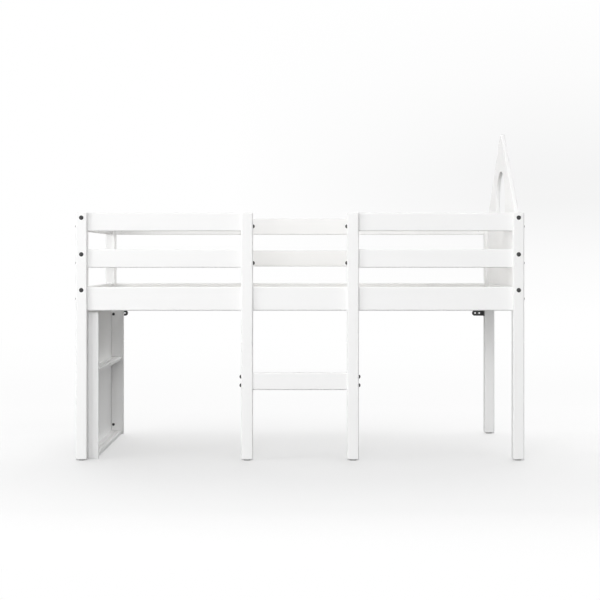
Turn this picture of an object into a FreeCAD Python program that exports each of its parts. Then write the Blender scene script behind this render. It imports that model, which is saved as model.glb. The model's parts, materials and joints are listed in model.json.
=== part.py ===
import FreeCAD, Part
import math
import os
from FreeCAD import Vector

# A mid-height bed with a house-shaped panel at one end and a shallow bookcase under the other.
# Millimetres. X runs along the bed, Y from the open side towards the wall, Z up from the floor.
# The origin is on the floor, under the middle of the bed.

# Mattress and the room round it
mattress_length = 1900.0
mattress_width = 900.0
mattress_clearance = 5.0

# Posts, ladder stiles and rails
post_width = 50.0
post_height = 1095.0
rail_thickness = 20.0
main_rail_height = 105.0
guard_rail_height = 82.0
guard_gap = 80.0
main_gap = 85.0
timber_round = 6.0
end_round = 5.0

# Ladder in the middle of the open side
entry_width = 416.0
stile_width = 52.0
step_height = 78.0
step_thickness = 24.0
step_top = 389.0
step_bolt_spacing = 38.0

# House-shaped end panel with a round window
panel_thickness = 18.0
gable_rise = 394.0
ridge_round = 20.0
window_radius = 142.0
window_rise = 68.0
panel_round = 3.0
gable_dowel_share = 0.6

# Bookcase under the left end
bookcase_depth = 60.0
bookcase_side_thickness = 16.0
bookcase_floor_gap = 1.0
bookcase_rail_gap = 10.0
shelf_thickness = 18.0
shelf_setback = 10.0
upper_bay_height = 257.0
groove_width = 5.0
groove_depth = 3.0
groove_setback = 22.0
bookcase_bolt_gap = 1.5
bookcase_bolt_drop = 42.0
bookcase_bolt_rise = 48.0
shelf_dowel_shares = (0.25, 0.8)
back_dowel_shares = (0.2, 0.5, 0.8)

# Slats and the ledgers that carry them
slat_count = 14
slat_width = 70.0
slat_thickness = 18.0
slat_post_gap = 50.0
slat_side_gap = 4.0
ledger_rise = 12.0
ledger_height = 30.0
ledger_depth = 22.0
ledger_end_gap = 10.0
slat_round = 3.0

# Wall brackets on the back posts, which meet the wall in the plane of the bolt heads
bracket_drop = 49.0
bracket_length = 58.0
bracket_leg = 48.0
bracket_height = 28.0
bracket_thickness = 3.0
wall_hole_radius = 3.75
wall_hole_spacing = 21.0
wall_hole_inset = 21.0
bracket_screw_rise = 8.0
bracket_screw_spread = 20.0

# Rail bolts, barrel nuts and dowels
bolt_radius = 3.0
bolt_reach = 44.0
bolt_tip_room = 3.0
post_head_radius = 9.8
post_head_height = 5.0
stile_head_radius = 9.0
stile_head_height = 8.0
socket_width = 5.0
socket_depth = 2.4
guard_bolt_drop = 20.0
guard_bolt_rise = 18.0
main_bolt_rise = 38.5
nut_radius = 5.0
nut_length = 14.0
nut_setback = 30.0
dowel_radius = 4.0
dowel_length = 30.0
small_dowel_radius = 3.0
small_dowel_length = 22.0

# Wood screws
screw_radius = 2.0
screw_head_radius = 4.0
screw_head_height = 2.4
screw_socket_width = 2.5
screw_socket_depth = 1.4
stile_screw_cover = 5.0
stile_screw_spread = 26.0
stile_screw_drop = 15.0
stile_screw_fall = 20.0
ledger_screw_cover = 6.0
slat_screw_cover = 12.0
bracket_screw_bite = 18.0
pan_head_radius = 7.0
pan_head_height = 3.5
bookcase_bolt_radius = 2.5
bookcase_bolt_bite = 30.0

# Floor glides under the posts and stiles
glide_radius = 16.0
glide_height = 4.0
glide_nail_radius = 2.5
glide_nail_length = 14.0
glide_chamfer = 1.0

# Fits
fit_clearance = 0.2
overrun = 5.0
parallel_share = 0.999

# Places that follow from the sizes above
rail_inset = (post_width - rail_thickness) / 2
inner_x = mattress_length / 2 + mattress_clearance
inner_y = mattress_width / 2 + mattress_clearance
rail_x = inner_x + rail_thickness / 2
rail_y = inner_y + rail_thickness / 2
post_inner_x = rail_x - post_width / 2
post_inner_y = rail_y - post_width / 2
outer_x = rail_x + post_width / 2
outer_y = rail_y + post_width / 2
gable_top = post_height + gable_rise
window_height = post_height + window_rise
upper_guard_base = post_height - guard_rail_height
lower_guard_base = upper_guard_base - guard_gap - guard_rail_height
main_rail_base = lower_guard_base - main_gap - main_rail_height
main_rail_top = main_rail_base + main_rail_height
stile_depth = rail_inset + rail_thickness
stile_inner_x = entry_width / 2
stile_outer_x = stile_inner_x + stile_width
step_y = -outer_y + stile_depth / 2
ledger_base = main_rail_base + ledger_rise
ledger_top = ledger_base + ledger_height
slat_top = ledger_top + slat_thickness
bookcase_back_x = -rail_x + panel_thickness / 2
bookcase_front_x = bookcase_back_x + bookcase_depth
bookcase_side_y = post_inner_y - bookcase_side_thickness
bookcase_top = main_rail_base - bookcase_rail_gap
bracket_middle = main_rail_base - bracket_drop
wall_plane = outer_y + post_head_height

X = Vector(1, 0, 0)
Y = Vector(0, 1, 0)
Z = Vector(0, 0, 1)
SIDES = {"front": -1, "back": 1}
ENDS = {"left": -1, "right": 1}

# Where each level of rail sits, and how far its bolts and dowels lie above the middle of the rail
LEVELS = {
    "main_rail": {
        "base": main_rail_base,
        "height": main_rail_height,
        "long_bolt": 0,
        "long_dowels": (-main_bolt_rise, main_bolt_rise),
        "end_bolt": main_bolt_rise,
        "end_dowels": (-main_bolt_rise,),
    },
    "lower_guard": {
        "base": lower_guard_base,
        "height": guard_rail_height,
        "long_bolt": -guard_bolt_drop,
        "long_dowels": (guard_bolt_drop,),
        "end_bolt": guard_bolt_rise,
        "end_dowels": (-guard_bolt_rise,),
    },
    "upper_guard": {
        "base": upper_guard_base,
        "height": guard_rail_height,
        "long_bolt": -guard_bolt_drop,
        "long_dowels": (guard_bolt_drop,),
        "end_bolt": guard_bolt_rise,
        "end_dowels": (-guard_bolt_rise,),
    },
}

solids = {}
cutters = {}
groups = {}


def block(x, y, z):
    """A box between two limits on each axis, given in any order."""
    low = Vector(min(x), min(y), min(z))
    size = Vector(max(x), max(y), max(z)) - low
    return Part.makeBox(size.x, size.y, size.z, low)


def edges_along(shape, axis):
    """The straight edges of a shape that run along an axis."""
    along = [edge.tangentAt(edge.FirstParameter).dot(axis) for edge in shape.Edges]
    return [edge for edge, share in zip(shape.Edges, along) if abs(share) > parallel_share]


def bar(x, y, z, along, radius=timber_round):
    """A timber whose long edges are rounded."""
    shape = block(x, y, z)
    return shape.makeFillet(radius, edges_along(shape, along))


def rod(start, direction, radius, length):
    """A round rod from a point along a direction."""
    return Part.makeCylinder(radius, length, start, direction)


def place(shape, seat, direction):
    """A copy of a fastener drawn along +Z, moved to its seat and turned to point along a direction."""
    moved = shape.copy()
    moved.Placement = FreeCAD.Placement(seat, FreeCAD.Rotation(Z, direction))
    return moved


def remove(node, tool):
    """Note a shape that is cut away from a node."""
    cutters.setdefault(node, []).append(tool)


def drill(node, start, direction, radius, depth):
    """Note a round hole that opens at a face of a node."""
    remove(node, rod(start - direction * overrun, direction, radius, depth + overrun))


def fasten(group, solid):
    """Add one solid to a group of like fasteners."""
    groups.setdefault(group, []).append(solid)


def one_solid(shape):
    """The only solid of a shape."""
    (solid,) = shape.Solids
    return solid


def hexagon(width, depth, start):
    """A six-sided prism along +Z from a height, as wide across its flats as given."""
    reach = width / math.sqrt(3)
    turns = [k * math.pi / 3 for k in range(7)]
    corners = [Vector(reach * math.cos(turn), reach * math.sin(turn), start) for turn in turns]
    return Part.Face(Part.makePolygon(corners)).extrude(Z * depth)


def finish_bolt(head, head_height, shank_radius, length, drive_width, drive_depth):
    """Join a head below Z = 0 to a shank above it and sink the hexagon socket into the head."""
    socket = hexagon(drive_width, drive_depth + overrun, -head_height - overrun)
    shank = rod(Vector(0, 0, 0), Z, shank_radius, length)
    return one_solid(head.cut(socket).fuse(shank).removeSplitter())


def dome(radius, height):
    """A round cap below Z = 0."""
    ball = (radius**2 + height**2) / (2 * height)
    middle = ball - height
    turn = (math.asin(-middle / ball) - math.pi / 2) / 2
    arc = Part.Arc(
        Vector(radius, 0, 0),
        Vector(ball * math.cos(turn), 0, middle + ball * math.sin(turn)),
        Vector(0, 0, -height),
    ).toShape()
    axis = Part.makeLine(Vector(0, 0, -height), Vector(0, 0, 0))
    base = Part.makeLine(Vector(0, 0, 0), Vector(radius, 0, 0))
    return Part.Face(Part.Wire([base, arc, axis])).revolve(Vector(0, 0, 0), Z, 360)


def domed_bolt(head_radius, head_height, length):
    """A rail bolt with a domed head, its shank along +Z and its head below Z = 0."""
    head = dome(head_radius, head_height)
    return finish_bolt(head, head_height, bolt_radius, length, socket_width, socket_depth)


def pan_screw(head_radius, head_height, shank_radius, length):
    """A screw with a low domed head."""
    head = dome(head_radius, head_height)
    return finish_bolt(head, head_height, shank_radius, length, screw_socket_width, screw_socket_depth)


def sunk_screw(length, gap=0):
    """A countersunk screw whose head ends flush with Z = 0; a gap makes the hole that it fits."""
    cone = Part.makeCone(screw_head_radius + gap, screw_radius + gap, screw_head_height)
    body = cone.fuse(rod(Vector(0, 0, 0), Z, screw_radius + gap, length + gap)).removeSplitter()
    if gap:
        return body
    return one_solid(body.cut(hexagon(screw_socket_width, screw_socket_depth + overrun, -overrun)))


def sink(nodes, group, seat, direction, length):
    """Drive a countersunk screw from a face of the first node through into the others."""
    for node in nodes:
        remove(node, place(sunk_screw(length, fit_clearance), seat, direction))
    fasten(group, place(sunk_screw(length), seat, direction))


def bolt_up(group, bolt, carrier, wall, rail, thickness, seat, inward, nut_side):
    """Bolt a rail's end to a post or stile, into a barrel nut that lies across the rail."""
    hole = bolt_radius + fit_clearance
    rail_end = seat + inward * wall
    nut_middle = rail_end + inward * nut_setback
    drill(carrier, seat, inward, hole, wall + overrun)
    drill(rail, rail_end, inward, hole, bolt_reach + bolt_tip_room)
    nut_depth = (thickness + nut_length) / 2
    drill(rail, nut_middle + nut_side * (thickness / 2), -nut_side, nut_radius + fit_clearance, nut_depth)
    fasten(group, place(bolt, seat, inward))
    nut = rod(nut_middle - nut_side * (nut_length / 2), nut_side, nut_radius, nut_length)
    thread = rod(nut_middle - inward * (nut_radius + overrun), inward, hole, (nut_radius + overrun) * 2)
    fasten("barrel_nuts", one_solid(nut.cut(thread)))


def peg(group, first, second, point, direction, radius=dowel_radius, length=dowel_length):
    """Set a dowel half in one piece and half in the next, across the joint at a point."""
    hole = radius + fit_clearance
    depth = length / 2 + fit_clearance
    drill(first, point, -direction, hole, depth)
    drill(second, point, direction, hole, depth)
    fasten(group, rod(point - direction * (length / 2), direction, radius, length))


def upright(x, y, name):
    """A post or stile that stands on a glide, with all its edges rounded."""
    shape = bar(x, y, (glide_height, post_height), Z)
    rims = [edge for edge in shape.Edges if edge.BoundBox.ZLength < end_round]
    solids[name] = shape.makeFillet(end_round, rims)
    foot = Vector(sum(x) / 2, sum(y) / 2, glide_height)
    disc = rod(foot - Z * glide_height, Z, glide_radius, glide_height)
    low_rim = [edge for edge in disc.Edges if edge.BoundBox.ZMax < glide_height / 2]
    disc = disc.makeChamfer(glide_chamfer, low_rim)
    fasten("foot_glides", one_solid(disc.fuse(rod(foot, Z, glide_nail_radius, glide_nail_length))))
    drill(name, foot, Z, glide_nail_radius + fit_clearance, glide_nail_length + fit_clearance)


def post_joint(level, side, end, rail, thickness, lengthwise):
    """Bolt and dowel one end of a rail or panel to a corner post, along X or along Y."""
    rule = LEVELS[level]
    middle = rule["base"] + rule["height"] / 2
    centre = Vector(ENDS[end] * rail_x, SIDES[side] * rail_y, middle)
    inward = X * -ENDS[end] if lengthwise else Y * -SIDES[side]
    nut_side = Y * -SIDES[side] if lengthwise else X * -ENDS[end]
    kind = "long" if lengthwise else "end"
    group = "lengthwise_bolts" if lengthwise else "crosswise_bolts"
    post = f"post_{side}_{end}"
    seat = centre - inward * (post_width / 2) + Z * rule[f"{kind}_bolt"]
    bolt_up(group, post_bolt, post, post_width, rail, thickness, seat, inward, nut_side)
    for rise in rule[f"{kind}_dowels"]:
        peg("rail_dowels", post, rail, centre + inward * (post_width / 2) + Z * rise, inward)


def make_posts():
    """The four corner posts."""
    for side, sy in SIDES.items():
        for end, sx in ENDS.items():
            x = (sx * post_inner_x, sx * outer_x)
            y = (sy * post_inner_y, sy * outer_y)
            upright(x, y, f"post_{side}_{end}")


def make_stiles():
    """The two ladder stiles, housed over the front main rail and screwed to it from inside."""
    for end, sx in ENDS.items():
        name = f"stile_{end}"
        x = (sx * stile_inner_x, sx * stile_outer_x)
        upright(x, (-outer_y, -outer_y + stile_depth), name)
        housing_x = (sx * (stile_inner_x - overrun), sx * (stile_outer_x + overrun))
        housing_z = (main_rail_base - fit_clearance, main_rail_top + fit_clearance)
        remove(name, block(housing_x, (-outer_y + rail_inset, -inner_y + overrun), housing_z))
        for k, lean in enumerate((-1, 1)):
            screw_x = sx * (stile_inner_x + stile_width / 2) + lean * stile_screw_spread / 2
            seat = Vector(screw_x, -inner_y, main_rail_top - stile_screw_drop - k * stile_screw_fall)
            sink(("main_rail_front", name), "stile_screws", seat, -Y, stile_depth - stile_screw_cover)


def make_long_rails():
    """The rails along the bed: whole at the back and at mattress height, split by the ladder in front."""
    for level, rule in LEVELS.items():
        z = (rule["base"], rule["base"] + rule["height"])
        for side, sy in SIDES.items():
            y = (sy * inner_y, sy * (inner_y + rail_thickness))
            if side == "back" or level == "main_rail":
                name = f"{level}_{side}"
                solids[name] = bar((-post_inner_x, post_inner_x), y, z, X)
                for end in ENDS:
                    post_joint(level, side, end, name, rail_thickness, True)
                continue
            for end, sx in ENDS.items():
                name = f"{level}_{side}_{end}"
                solids[name] = bar((sx * stile_outer_x, sx * post_inner_x), y, z, X)
                post_joint(level, side, end, name, rail_thickness, True)
                stile_joint(rule, end, name)


def stile_joint(rule, end, rail):
    """Bolt and dowel a front guard rail to a ladder stile from the entry side."""
    outward = X * ENDS[end]
    middle = rule["base"] + rule["height"] / 2
    seat = outward * stile_inner_x + Vector(0, -rail_y, middle + rule["long_bolt"])
    stile = f"stile_{end}"
    bolt_up("stile_bolts", stile_bolt, stile, stile_width, rail, rail_thickness, seat, outward, Y)
    for rise in rule["long_dowels"]:
        point = outward * stile_outer_x + Vector(0, -rail_y, middle + rise)
        peg("rail_dowels", stile, rail, point, outward)


def make_end_rails():
    """The rails across the two ends; the right end has only the main rail, under its panel."""
    for level, rule in LEVELS.items():
        z = (rule["base"], rule["base"] + rule["height"])
        for end, sx in ENDS.items():
            if end == "right" and level != "main_rail":
                continue
            name = f"{level}_{end}_end"
            x = (sx * inner_x, sx * (inner_x + rail_thickness))
            solids[name] = bar(x, (-post_inner_y, post_inner_y), z, Y)
            for side in SIDES:
                post_joint(level, side, end, name, rail_thickness, False)


def make_gable():
    """The house-shaped panel that stands on the right end rail between the posts."""
    near = rail_x - panel_thickness / 2
    corners = [
        Vector(near, -post_inner_y, main_rail_top),
        Vector(near, post_inner_y, main_rail_top),
        Vector(near, post_inner_y, post_height),
        Vector(near, 0, gable_top),
        Vector(near, -post_inner_y, post_height),
    ]
    house = Part.Face(Part.makePolygon(corners + corners[:1])).extrude(X * panel_thickness)
    ridge = [edge for edge in edges_along(house, X) if edge.CenterOfMass.z > gable_top - ridge_round]
    window_start = Vector(near - overrun, 0, window_height)
    window = rod(window_start, X, window_radius, panel_thickness + 2 * overrun)
    panel = house.makeFillet(ridge_round, ridge).cut(window)
    rims = [edge for edge in panel.Edges if edge.BoundBox.XLength < panel_round]
    solids["gable_panel"] = one_solid(panel.makeFillet(panel_round, rims))
    for side in SIDES:
        for level in ("lower_guard", "upper_guard"):
            post_joint(level, side, "right", "gable_panel", panel_thickness, False)
    for lean in (-1, 0, 1):
        point = Vector(rail_x, lean * gable_dowel_share * post_inner_y, main_rail_top)
        peg("rail_dowels", "main_rail_right_end", "gable_panel", point, Z)


def make_step():
    """The ladder step, a board on edge bolted between the stiles."""
    y = (step_y - step_thickness / 2, step_y + step_thickness / 2)
    z = (step_top - step_height, step_top)
    solids["ladder_step"] = bar((-stile_inner_x, stile_inner_x), y, z, X)
    for end, sx in ENDS.items():
        for lean in (-1, 1):
            height = step_top - step_height / 2 + lean * step_bolt_spacing / 2
            seat = Vector(sx * stile_outer_x, step_y, height)
            inward = X * -sx
            stile = f"stile_{end}"
            step = ("ladder_step", step_thickness)
            bolt_up("step_bolts", stile_bolt, stile, stile_width, *step, seat, inward, Y)


def make_slats():
    """The ledgers on the main rails and the slats across them."""
    ledger_x = post_inner_x - ledger_end_gap
    for side, sy in SIDES.items():
        y = (sy * (inner_y - ledger_depth), sy * inner_y)
        solids[f"ledger_{side}"] = bar((-ledger_x, ledger_x), y, (ledger_base, ledger_top), X, slat_round)
    first = -post_inner_x + slat_post_gap + slat_width / 2
    pitch = -2 * first / (slat_count - 1)
    slat_y = inner_y - slat_side_gap
    for k in range(slat_count):
        middle = first + k * pitch
        name = f"slat_{k + 1}"
        x = (middle - slat_width / 2, middle + slat_width / 2)
        solids[name] = bar(x, (-slat_y, slat_y), (ledger_top, slat_top), Y, slat_round)
        for side, sy in SIDES.items():
            seat = Vector(middle, sy * (inner_y - ledger_depth / 2), slat_top)
            length = slat_top - ledger_base - slat_screw_cover
            sink((name, f"ledger_{side}"), "slat_screws", seat, -Z, length)
            if k % 2 == 0:
                face_y = sy * (inner_y - ledger_depth)
                seat = Vector(middle + pitch / 2, face_y, ledger_base + ledger_height / 2)
                pair = (f"ledger_{side}", f"main_rail_{side}")
                length = ledger_depth + rail_thickness - ledger_screw_cover
                sink(pair, "ledger_screws", seat, Y * sy, length)


def make_bookcase():
    """The open bookcase between the left posts: a back, two sides and two grooved shelves."""
    side_x = (bookcase_back_x - panel_thickness, bookcase_front_x)
    bolt_x = bookcase_back_x + bookcase_bolt_gap + pan_head_radius
    z = (bookcase_floor_gap, bookcase_top)
    solids["bookcase_back"] = block(side_x[:1] + (bookcase_back_x,), (-bookcase_side_y, bookcase_side_y), z)
    for side, sy in SIDES.items():
        name = f"bookcase_side_{side}"
        board = block(side_x, (sy * bookcase_side_y, sy * post_inner_y), z)
        rims = [edge for edge in edges_along(board, Z) if edge.CenterOfMass.x > bookcase_back_x]
        solids[name] = board.makeFillet(panel_round, rims)
        for height in (bookcase_top - bookcase_bolt_drop, bookcase_floor_gap + bookcase_bolt_rise):
            seat = Vector(bolt_x, sy * bookcase_side_y, height)
            hole = bookcase_bolt_radius + fit_clearance
            drill(name, seat, Y * sy, hole, bookcase_side_thickness + overrun)
            depth = bookcase_side_thickness + bookcase_bolt_bite + fit_clearance
            drill(f"post_{side}_left", seat, Y * sy, hole, depth)
            fasten("bookcase_bolts", place(bookcase_bolt, seat, Y * sy))
        for share in back_dowel_shares:
            height = bookcase_floor_gap + share * (bookcase_top - bookcase_floor_gap)
            small_peg("bookcase_back", name, Vector(-rail_x, sy * bookcase_side_y, height), Y * sy)
    make_shelf("bookcase_bottom_shelf", bookcase_floor_gap + shelf_thickness)
    make_shelf("bookcase_middle_shelf", bookcase_top - upper_bay_height)


def small_peg(first, second, point, direction):
    """Set one of the bookcase's thin dowels."""
    peg("bookcase_dowels", first, second, point, direction, small_dowel_radius, small_dowel_length)


def make_shelf(name, top):
    """A shelf with a groove along its top that keeps books from sliding off."""
    front = bookcase_front_x - shelf_setback
    y = (-bookcase_side_y, bookcase_side_y)
    board = block((bookcase_back_x, front), y, (top - shelf_thickness, top))
    rims = [edge for edge in edges_along(board, Y) if edge.CenterOfMass.x > front - panel_round]
    solids[name] = board.makeFillet(panel_round, rims)
    groove = front - groove_setback
    groove_x = (groove - groove_width / 2, groove + groove_width / 2)
    remove(name, block(groove_x, y, (top - groove_depth, top + overrun)))
    for side, sy in SIDES.items():
        for share in shelf_dowel_shares:
            place_x = bookcase_back_x + share * (front - bookcase_back_x)
            point = Vector(place_x, sy * bookcase_side_y, top - shelf_thickness / 2)
            small_peg(name, f"bookcase_side_{side}", point, Y * sy)


def make_brackets():
    """The two angle brackets that hold the bed to a wall."""
    half = bracket_height / 2
    for end, sx in ENDS.items():
        name = f"wall_bracket_{end}"
        face = sx * post_inner_x
        tip = sx * (post_inner_x - bracket_length + half)
        y = (wall_plane - bracket_thickness, wall_plane)
        z = (bracket_middle - half, bracket_middle + half)
        plate = block((tip, face), y, z)
        plate = plate.fuse(rod(Vector(tip, y[0], bracket_middle), Y, half, bracket_thickness))
        leg_x = (face - sx * bracket_thickness, face)
        leg = block(leg_x, (wall_plane - bracket_leg, wall_plane), z)
        solids[name] = one_solid(plate.fuse(leg).removeSplitter())
        for k in range(2):
            hole_x = face - sx * (wall_hole_inset + k * wall_hole_spacing)
            hole_start = Vector(hole_x, y[0], bracket_middle)
            drill(name, hole_start, Y, wall_hole_radius, bracket_thickness + overrun)
        for lean in (-1, 1):
            seat_y = rail_y - lean * bracket_screw_spread / 2
            seat = Vector(leg_x[0], seat_y, bracket_middle + lean * bracket_screw_rise)
            length = bracket_thickness + bracket_screw_bite
            hole = screw_radius + fit_clearance
            drill(name, seat, X * sx, hole, bracket_thickness + overrun)
            drill(f"post_back_{end}", seat, X * sx, hole, length + fit_clearance)
            fasten("bracket_screws", place(bracket_screw, seat, X * sx))


post_bolt = domed_bolt(post_head_radius, post_head_height, post_width + bolt_reach)
stile_bolt = domed_bolt(stile_head_radius, stile_head_height, stile_width + bolt_reach)
bookcase_bolt = pan_screw(
    pan_head_radius, pan_head_height, bookcase_bolt_radius, bookcase_side_thickness + bookcase_bolt_bite
)
bracket_screw = pan_screw(
    screw_head_radius, screw_head_height, screw_radius, bracket_thickness + bracket_screw_bite
)

make_posts()
make_stiles()
make_long_rails()
make_end_rails()
make_gable()
make_step()
make_slats()
make_bookcase()
make_brackets()

os.makedirs("parts", exist_ok=True)
for node, shape in solids.items():
    if node in cutters:
        shape = shape.cut(cutters[node])
    one_solid(shape).exportStep(f"parts/{node}.step")
for node, pieces in groups.items():
    Part.makeCompound(pieces).exportStep(f"parts/{node}.step")
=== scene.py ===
import json
import math

import bpy
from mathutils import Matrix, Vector


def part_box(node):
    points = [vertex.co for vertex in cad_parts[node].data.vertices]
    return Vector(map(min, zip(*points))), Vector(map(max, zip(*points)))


# The mid sleeper bed in its finish, on a pale floor. Metres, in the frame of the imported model.

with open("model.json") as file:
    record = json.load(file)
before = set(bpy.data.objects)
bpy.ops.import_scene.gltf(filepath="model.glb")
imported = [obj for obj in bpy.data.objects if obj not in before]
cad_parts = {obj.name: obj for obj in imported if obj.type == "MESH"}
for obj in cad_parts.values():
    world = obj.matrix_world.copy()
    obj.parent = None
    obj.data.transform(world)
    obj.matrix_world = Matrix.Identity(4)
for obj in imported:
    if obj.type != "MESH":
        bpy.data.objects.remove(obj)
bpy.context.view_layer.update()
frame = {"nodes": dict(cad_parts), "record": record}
nodes = frame["nodes"]
slot_of = {part["node"]: part["material_slot"] for part in frame["record"]["subparts"]}

# Finishes: the two tones that each one wanders between
PAINT_TONES = [(0.876, 0.876, 0.873), (0.896, 0.896, 0.894)]
BOARD_TONES = [(0.878, 0.878, 0.875), (0.894, 0.894, 0.892)]
BIRCH_TONES = [(0.79, 0.76, 0.7), (0.69, 0.65, 0.585)]
BEECH_TONES = [(0.72, 0.54, 0.38), (0.58, 0.4, 0.26)]
BLACK_TONES = [(0.018, 0.018, 0.019), (0.03, 0.03, 0.031)]
ZINC_TONES = [(0.56, 0.56, 0.54), (0.68, 0.68, 0.67)]
PLASTIC_TONES = [(0.26, 0.26, 0.26), (0.32, 0.32, 0.32)]

# How rough each finish is where its tone is first and last
PAINT_ROUGHNESS = (0.66, 0.58)
BOARD_ROUGHNESS = (0.64, 0.58)
WOOD_ROUGHNESS = (0.62, 0.52)
BLACK_ROUGHNESS = (0.42, 0.32)
ZINC_ROUGHNESS = (0.42, 0.28)
PLASTIC_ROUGHNESS = (0.62, 0.5)

# How strongly the matt white paint mirrors what is round it
PAINT_GLOSS = 0.12

# Patterns: how finely each is drawn along and across a timber, and on all sides elsewhere
GRAIN_STRETCH = (1.1, 34.0)
RING_STRETCH = (0.5, 9.0)
FIBRE_STRETCH = (3.0, 260.0)
EVEN_STRETCH = (1.0, 1.0, 1.0)
BIRCH_RINGS = 1.6
BEECH_RINGS = 3.0

# What makes up a tone: grain and cloud in the paint, and rings, drift and fibre in the bare wood
PAINT_SHARES = (0.55, 0.45)
WOOD_SHARES = (0.5, 0.3, 0.2)

# Where the bare wood is light, between the two tones, and dark
WOOD_STOPS = (0.25, 0.6, 0.85)

# Heights of the bumps under the finish
GRAIN_HEIGHT = 0.0006
PEEL_HEIGHT = 0.0002
FIBRE_HEIGHT = 0.0004
GRIT_HEIGHT = 0.0001

# The range in which smooth noise mostly stays
NOISE_RANGE = (0.3, 0.7)

# Camera: level, square to the open side and measured from the posts' fronts, in a square picture
PICTURE_SIDE = 600
FOCAL_PIXELS = 1370
HORIZON_ROW = 258
SENSOR_WIDTH = 36.0
CAMERA_DISTANCE = 6.043
CAMERA_HEIGHT = 0.894

# Light: soft lobes of the sky, each with its direction, sharpness and strength
SKY_LOBES = [
    ((0.0, 0.0, 1.0), 30.0, 2.1),
    ((0.0, 0.87, 0.5), 4.0, 3.0),
    ((0.5, -0.5, 0.7), 8.0, 1.2),
    ((0.0, -0.96, 0.29), 40.0, 1.9),
    ((-0.45, -0.85, 0.28), 40.0, 1.5),
    ((0.45, -0.85, 0.28), 40.0, 1.25),
    ((-0.45, -0.89, 0.07), 60.0, 9.0),
    ((-0.85, -0.5, 0.1), 60.0, 2.7),
    ((-0.95, -0.25, 0.2), 12.0, 1.8),
    ((0.85, 0.5, 0.12), 60.0, 5.3),
]

# Round lamps, four in front and one by each end of the bed: place, target, size and power
LAMPS = [
    ((-0.6, -5.2, 2.0), (0.0, 0.0, 0.6), 1.4, 33.0),
    ((-0.5, -4.6, 0.5), (0.0, 0.0, 0.5), 0.8, 18.5),
    ((-4.4, -2.6, 1.0), (0.0, 0.0, 0.7), 1.0, 44.0),
    ((2.4, -4.2, 0.3), (0.0, 0.0, 0.5), 0.5, 10.0),
    ((-3.0, 0.9, 0.5), (-1.0, 0.0, 0.6), 1.0, 5.0),
    ((2.8, 1.2, 1.5), (1.0, 0.0, 0.9), 1.0, 7.0),
]

# Backdrop: white, with a faint shade that grows towards the right and lies in a band round the horizon
WHITE = (1.0, 1.0, 1.0, 1.0)
SHADE_DEPTH = 0.092
SHADE_START = -0.05
SHADE_END = 0.16
SHADE_BAND = [(-0.04, 0.0), (0.0, 0.33), (0.04, 1.0), (0.06, 1.0), (0.13, 0.32), (0.19, 0.0)]

# Floor: half its side, and how much of it is seen as plain white by the distance behind the bed's middle.
# The white is a glow shown only to the camera. Far off it makes the backdrop. Near and under the bed it is
# painted light that lightens the bed's shadow.
FLOOR_HALF = 14.0
FLOOR_WHITE = [
    (-2.6, 1.0),
    (-1.7, 0.27),
    (0.2, 0.34),
    (0.4, 0.4),
    (0.6, 0.54),
    (1.5, 0.78),
    (5.0, 0.95),
    (8.0, 1.0),
]

# The same by the distance to either side
FLOOR_SIDE_WHITE = [(2.5, 0.0), (6.0, 1.0)]

# The floor's tone as it is seen, and as it lights the bed from below
FLOOR_SEEN = 0.82
FLOOR_BOUNCE = 0.06


def new_material(name):
    """A material with nodes, and its main shader."""
    material = bpy.data.materials.new(name)
    material.use_nodes = True
    return material, material.node_tree, material.node_tree.nodes["Principled BSDF"]


def add(tree, kind, **inputs):
    """Add a shader node and feed its inputs with sockets or values."""
    node = tree.nodes.new(kind)
    for name, value in inputs.items():
        feed(tree, node, name.replace("_", " "), value)
    return node


def feed(tree, node, name, value):
    """Link a socket to an input, or set the input's value."""
    if isinstance(value, bpy.types.NodeSocket):
        tree.links.new(value, node.inputs[name])
    else:
        node.inputs[name].default_value = value


def place_on(tree, stretch=EVEN_STRETCH):
    """Coordinates of the frame, stretched by a factor on each axis."""
    where = add(tree, "ShaderNodeTexCoord").outputs["Object"]
    return add(tree, "ShaderNodeMapping", Vector=where, Scale=stretch).outputs["Vector"]


def noise(tree, where, scale, detail=4.0, roughness=0.5, distortion=0.0):
    """Smooth noise from 0 to 1."""
    node = add(
        tree,
        "ShaderNodeTexNoise",
        Vector=where,
        Scale=scale,
        Detail=detail,
        Roughness=roughness,
        Distortion=distortion,
    )
    return node.outputs["Fac"]


def spread(tree, value, low, high, out_low, out_high):
    """A value moved from one range to another, clamped."""
    node = tree.nodes.new("ShaderNodeMapRange")
    for name, number in zip(("From Min", "From Max", "To Min", "To Max"), (low, high, out_low, out_high)):
        node.inputs[name].default_value = number
    tree.links.new(value, node.inputs["Value"])
    return node.outputs["Result"]


def ramp(tree, value, stops):
    """A colour read from a list of (place, colour) stops."""
    node = tree.nodes.new("ShaderNodeValToRGB")
    points = node.color_ramp.elements
    while len(points) < len(stops):
        points.new(1.0)
    for point, (place, colour) in zip(points, stops):
        point.position = place
        point.color = (*colour, 1.0)
    tree.links.new(value, node.inputs["Fac"])
    return node.outputs["Color"]


def between(tree, value, tones):
    """A colour that wanders between two tones with the noise."""
    return ramp(tree, value, list(zip(NOISE_RANGE, tones)))


def uneven(tree, value, ends):
    """A number that wanders between two ends with the noise."""
    return spread(tree, value, *NOISE_RANGE, *ends)


def combine(tree, operation, first, second):
    """Two values put together by one operation."""
    node = tree.nodes.new("ShaderNodeMath")
    node.operation = operation
    for socket, value in zip(node.inputs, (first, second)):
        if isinstance(value, bpy.types.NodeSocket):
            tree.links.new(value, socket)
        else:
            socket.default_value = value
    return node.outputs["Value"]


def blend(tree, values, shares):
    """A sum of values, each taken with its own share."""
    total = 0.0
    for value, share in zip(values, shares):
        total = combine(tree, "ADD", combine(tree, "MULTIPLY", value, share), total)
    return total


def bump(tree, height, strength, distance, normal=None):
    """A bumped normal."""
    node = add(tree, "ShaderNodeBump", Height=height, Strength=strength, Distance=distance)
    if normal is not None:
        tree.links.new(normal, node.inputs["Normal"])
    return node.outputs["Normal"]


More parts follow.
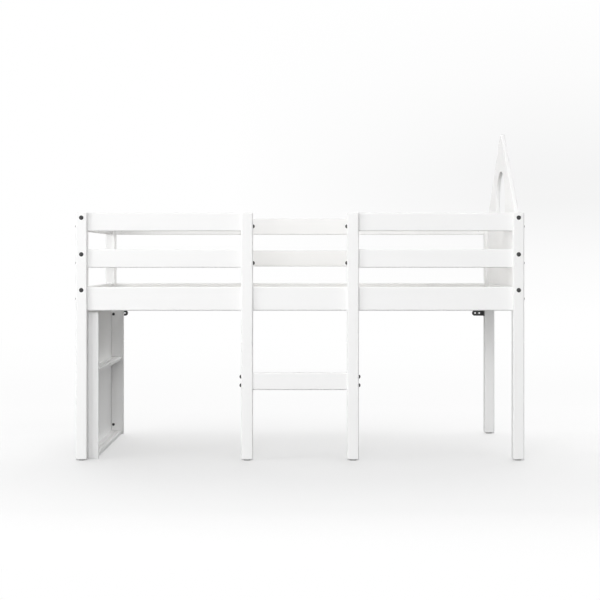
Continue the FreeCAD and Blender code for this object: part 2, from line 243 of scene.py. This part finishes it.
def along(axis, stretch):
    """Stretch factors on the three axes, from those along and across one of them."""
    lengthwise, crosswise = stretch
    return tuple(lengthwise if k == axis else crosswise for k in range(3))


def painted_timber(name, axis):
    """Matt white paint over planed pine, whose grain just shows along one axis."""
    material, tree, shader = new_material(name)
    lengthwise = place_on(tree, along(axis, GRAIN_STRETCH))
    grain = noise(tree, lengthwise, scale=1.0, detail=6.0, roughness=0.6, distortion=0.4)
    cloud = noise(tree, place_on(tree), scale=2.6, detail=3.0)
    peel = noise(tree, place_on(tree), scale=620.0, detail=2.0)
    tone = blend(tree, (grain, cloud), PAINT_SHARES)
    feed(tree, shader, "Base Color", between(tree, tone, PAINT_TONES))
    feed(tree, shader, "Roughness", uneven(tree, tone, PAINT_ROUGHNESS))
    ridges = bump(tree, grain, strength=0.12, distance=GRAIN_HEIGHT)
    skin = bump(tree, peel, strength=0.05, distance=PEEL_HEIGHT, normal=ridges)
    feed(tree, shader, "Normal", skin)
    shader.inputs["Specular IOR Level"].default_value = PAINT_GLOSS
    return material


def painted_board(name):
    """Smooth sprayed matt white on board, with a fine orange peel."""
    material, tree, shader = new_material(name)
    cloud = noise(tree, place_on(tree), scale=3.4, detail=3.0)
    peel = noise(tree, place_on(tree), scale=480.0, detail=2.0)
    feed(tree, shader, "Base Color", between(tree, cloud, BOARD_TONES))
    feed(tree, shader, "Roughness", uneven(tree, cloud, BOARD_ROUGHNESS))
    feed(tree, shader, "Normal", bump(tree, peel, strength=0.06, distance=PEEL_HEIGHT))
    shader.inputs["Specular IOR Level"].default_value = PAINT_GLOSS
    return material


def bare_wood(name, axis, tones, ring_scale):
    """Untreated timber with growth rings and fibre drawn out along one axis."""
    material, tree, shader = new_material(name)
    where = place_on(tree, along(axis, RING_STRETCH))
    drift = noise(tree, where, scale=1.4, detail=3.0)
    rings = tree.nodes.new("ShaderNodeTexWave")
    rings.wave_type = "RINGS"
    rings.rings_direction = "XYZ"[axis]
    for key, value in {"Scale": ring_scale, "Distortion": 5.0, "Detail": 3.0, "Detail Scale": 1.6}.items():
        rings.inputs[key].default_value = value
    tree.links.new(where, rings.inputs["Vector"])
    fibre = noise(tree, place_on(tree, along(axis, FIBRE_STRETCH)), scale=1.0, detail=4.0)
    tone = blend(tree, (rings.outputs["Fac"], drift, fibre), WOOD_SHARES)
    light, dark = tones
    middle = [(a + b) / 2 for a, b in zip(light, dark)]
    stops = list(zip(WOOD_STOPS, (light, middle, dark)))
    feed(tree, shader, "Base Color", ramp(tree, tone, stops))
    feed(tree, shader, "Roughness", uneven(tree, fibre, WOOD_ROUGHNESS))
    feed(tree, shader, "Normal", bump(tree, fibre, strength=0.15, distance=FIBRE_HEIGHT))
    return material


def black_steel(name):
    """Satin black coating on steel."""
    material, tree, shader = new_material(name)
    grit = noise(tree, place_on(tree), scale=900.0, detail=2.0)
    cloud = noise(tree, place_on(tree), scale=60.0, detail=3.0)
    feed(tree, shader, "Base Color", between(tree, cloud, BLACK_TONES))
    feed(tree, shader, "Roughness", uneven(tree, cloud, BLACK_ROUGHNESS))
    feed(tree, shader, "Normal", bump(tree, grit, strength=0.1, distance=GRIT_HEIGHT))
    return material


def zinc_steel(name):
    """Bright zinc plating, a little cloudy."""
    material, tree, shader = new_material(name)
    cloud = noise(tree, place_on(tree), scale=90.0, detail=4.0)
    feed(tree, shader, "Base Color", between(tree, cloud, ZINC_TONES))
    feed(tree, shader, "Roughness", uneven(tree, cloud, ZINC_ROUGHNESS))
    shader.inputs["Metallic"].default_value = 1.0
    return material


def glide_plastic(name):
    """Matt grey plastic."""
    material, tree, shader = new_material(name)
    cloud = noise(tree, place_on(tree), scale=140.0, detail=3.0)
    feed(tree, shader, "Base Color", between(tree, cloud, PLASTIC_TONES))
    feed(tree, shader, "Roughness", uneven(tree, cloud, PLASTIC_ROUGHNESS))
    return material


def long_axis(node):
    """The axis along which a node is longest."""
    low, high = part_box(node)
    size = high - low
    return max(range(3), key=lambda k: size[k])


def dress_nodes():
    """Give every CAD node its finish."""
    made = {}
    for name, thing in nodes.items():
        slot = slot_of[name]
        axis = long_axis(name) if slot in ("white_timber", "birch") else None
        key = slot if axis is None else f"{slot}_{'xyz'[axis]}"
        if key not in made:
            made[key] = finish_for(slot, key, axis)
        thing.data.materials.clear()
        thing.data.materials.append(made[key])


def finish_for(slot, key, axis):
    """The material of a slot."""
    if slot == "white_timber":
        return painted_timber(key, axis)
    if slot == "white_board":
        return painted_board(key)
    if slot == "birch":
        return bare_wood(key, axis, BIRCH_TONES, BIRCH_RINGS)
    if slot == "beech":
        return bare_wood(key, 0, BEECH_TONES, BEECH_RINGS)
    if slot == "black_steel":
        return black_steel(key)
    if slot == "zinc_steel":
        return zinc_steel(key)
    return glide_plastic(key)


def make_camera():
    """A level camera whose picture is shifted, so that uprights stay upright."""
    data = bpy.data.cameras.new("camera")
    data.sensor_width = SENSOR_WIDTH
    data.lens = FOCAL_PIXELS / PICTURE_SIDE * SENSOR_WIDTH
    data.shift_y = (HORIZON_ROW - PICTURE_SIDE / 2) / PICTURE_SIDE
    camera = bpy.data.objects.new("camera", data)
    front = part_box("post_front_left")[0].y
    camera.location = (0.0, front - CAMERA_DISTANCE, CAMERA_HEIGHT)
    camera.rotation_euler = (math.pi / 2, 0.0, 0.0)
    bpy.context.scene.collection.objects.link(camera)
    bpy.context.scene.camera = camera


def sky_lobe(tree, towards, direction, sharpness, strength):
    """Sky light that falls off round one direction."""
    node = tree.nodes.new("ShaderNodeVectorMath")
    node.operation = "DOT_PRODUCT"
    tree.links.new(towards, node.inputs[0])
    node.inputs[1].default_value = Vector(direction).normalized()
    facing = combine(tree, "MAXIMUM", node.outputs["Value"], 0.0)
    return combine(tree, "MULTIPLY", combine(tree, "POWER", facing, sharpness), strength)


def band(tree, value, stops):
    """A number read from a list of (place, number) stops, whose places lie in any range."""
    first, last = stops[0][0], stops[-1][0]
    share = spread(tree, value, first, last, 0.0, 1.0)
    return ramp(tree, share, [((place - first) / (last - first), (number,) * 3) for place, number in stops])


def seen_rays(tree):
    """1 for rays that show a thing, straight, mirrored or through glass, and 0 for rays that light it."""
    path = tree.nodes.new("ShaderNodeLightPath")
    straight = combine(tree, "MAXIMUM", path.outputs["Is Camera Ray"], path.outputs["Is Transmission Ray"])
    return combine(tree, "MAXIMUM", straight, path.outputs["Is Glossy Ray"])


def make_sky():
    """A soft sky that is seen as a white backdrop with a faint shade."""
    world = bpy.data.worlds.new("studio")
    world.use_nodes = True
    tree = world.node_tree
    towards = add(tree, "ShaderNodeTexCoord").outputs["Generated"]
    sky = 0.0
    for direction, sharpness, strength in SKY_LOBES:
        sky = combine(tree, "ADD", sky_lobe(tree, towards, direction, sharpness, strength), sky)
    split = add(tree, "ShaderNodeSeparateXYZ", Vector=towards)
    across = spread(tree, split.outputs["X"], SHADE_START, SHADE_END, 0.0, SHADE_DEPTH)
    shade = combine(tree, "MULTIPLY", across, band(tree, split.outputs["Z"], SHADE_BAND))
    strength = tree.nodes.new("ShaderNodeMix")
    feed(tree, strength, "Factor", seen_rays(tree))
    feed(tree, strength, "A", sky)
    feed(tree, strength, "B", combine(tree, "SUBTRACT", 1.0, shade))
    background = tree.nodes["Background"]
    feed(tree, background, "Color", WHITE)
    feed(tree, background, "Strength", strength.outputs["Result"])
    bpy.context.scene.world = world


def make_lamps():
    """The soft round lamps."""
    for place, target, size, power in LAMPS:
        lamp = bpy.data.lights.new("lamp", "AREA")
        lamp.shape = "DISK"
        lamp.size = size
        lamp.energy = power
        thing = bpy.data.objects.new("lamp", lamp)
        thing.location = place
        aim = Vector(target) - Vector(place)
        thing.rotation_euler = aim.to_track_quat("-Z", "Y").to_euler()
        thing.visible_camera = False
        bpy.context.scene.collection.objects.link(thing)


def make_floor():
    """A pale floor that keeps the bed's shadow, lightened near the bed by a painted white glow, and fades
    to white all round it.
    """
    mesh = bpy.data.meshes.new("floor")
    corners = [(-1, -1), (1, -1), (1, 1), (-1, 1)]
    mesh.from_pydata([(FLOOR_HALF * x, FLOOR_HALF * y, 0.0) for x, y in corners], [], [(0, 1, 2, 3)])
    floor = bpy.data.objects.new("floor", mesh)
    bpy.context.scene.collection.objects.link(floor)
    material, tree, shader = new_material("floor")
    split = add(tree, "ShaderNodeSeparateXYZ", Vector=add(tree, "ShaderNodeTexCoord").outputs["Object"])
    across, behind = split.outputs["X"], split.outputs["Y"]
    aside = combine(tree, "MAXIMUM", across, combine(tree, "MULTIPLY", across, -1.0))
    white = combine(tree, "MAXIMUM", band(tree, behind, FLOOR_WHITE), band(tree, aside, FLOOR_SIDE_WHITE))
    seen = seen_rays(tree)
    tone = spread(tree, seen, 0.0, 1.0, FLOOR_BOUNCE, FLOOR_SEEN)
    feed(tree, shader, "Base Color", tone)
    shader.inputs["Roughness"].default_value = 1.0
    shader.inputs["Specular IOR Level"].default_value = 0.0
    # painted light: a white glow seen by the camera, which fades the floor into the backdrop and lightens
    # the bed's shadow near the bed
    glow = add(tree, "ShaderNodeEmission", Color=WHITE, Strength=1.0)
    mix = add(tree, "ShaderNodeMixShader", Fac=combine(tree, "MULTIPLY", white, seen))
    tree.links.new(shader.outputs["BSDF"], mix.inputs[1])
    tree.links.new(glow.outputs["Emission"], mix.inputs[2])
    tree.links.new(mix.outputs["Shader"], tree.nodes["Material Output"].inputs["Surface"])
    mesh.materials.append(material)


dress_nodes()
make_camera()
make_sky()
make_lamps()
make_floor()
bpy.context.scene.view_settings.view_transform = "Standard"
